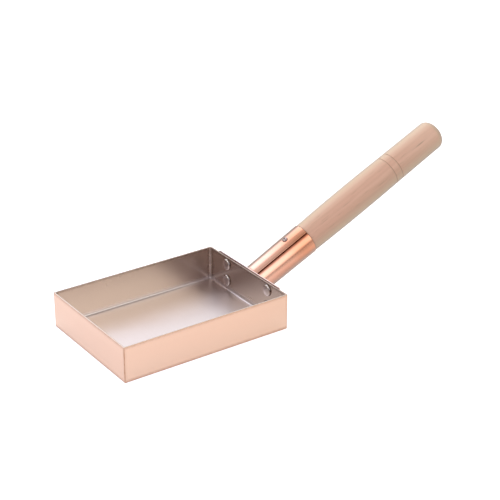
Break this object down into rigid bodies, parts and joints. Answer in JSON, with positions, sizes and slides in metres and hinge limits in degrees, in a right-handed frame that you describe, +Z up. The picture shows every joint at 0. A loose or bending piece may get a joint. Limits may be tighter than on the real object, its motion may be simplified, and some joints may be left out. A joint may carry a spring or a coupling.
{
  "type": "tamagoyaki pan",
  "caption": "Rectangular rolled-omelette pan: a folded, tinned copper box with upright walls, a riveted sheet bracket rolled into a tilted socket, and a turned wooden handle.",
  "frame": {"origin": "middle of the flat face that the pan stands on", "axes": "+X runs out along the handle, +Z is up, +Y is to the left when looking from the pan along the handle"},
  "size_m": [0.3852, 0.12, 0.1296],
  "materials": {
    "pan_copper": "polished copper sheet, wiped with tin on the inside",
    "bracket_copper": "polished copper sheet",
    "rivet_metal": "copper rivets wiped with tin",
    "handle_wood": "turned pale wood, lightly waxed",
    "screw_steel": "plated steel"
  },
  "bodies": {
    "root": {"pan_body": "pan_copper", "handle_bracket": "bracket_copper", "rivet_upper_left": "rivet_metal", "rivet_upper_right": "rivet_metal", "rivet_lower_left": "rivet_metal", "rivet_lower_right": "rivet_metal", "wooden_handle": "handle_wood", "fixing_screw": "screw_steel"}
  },
  "joints": []
}
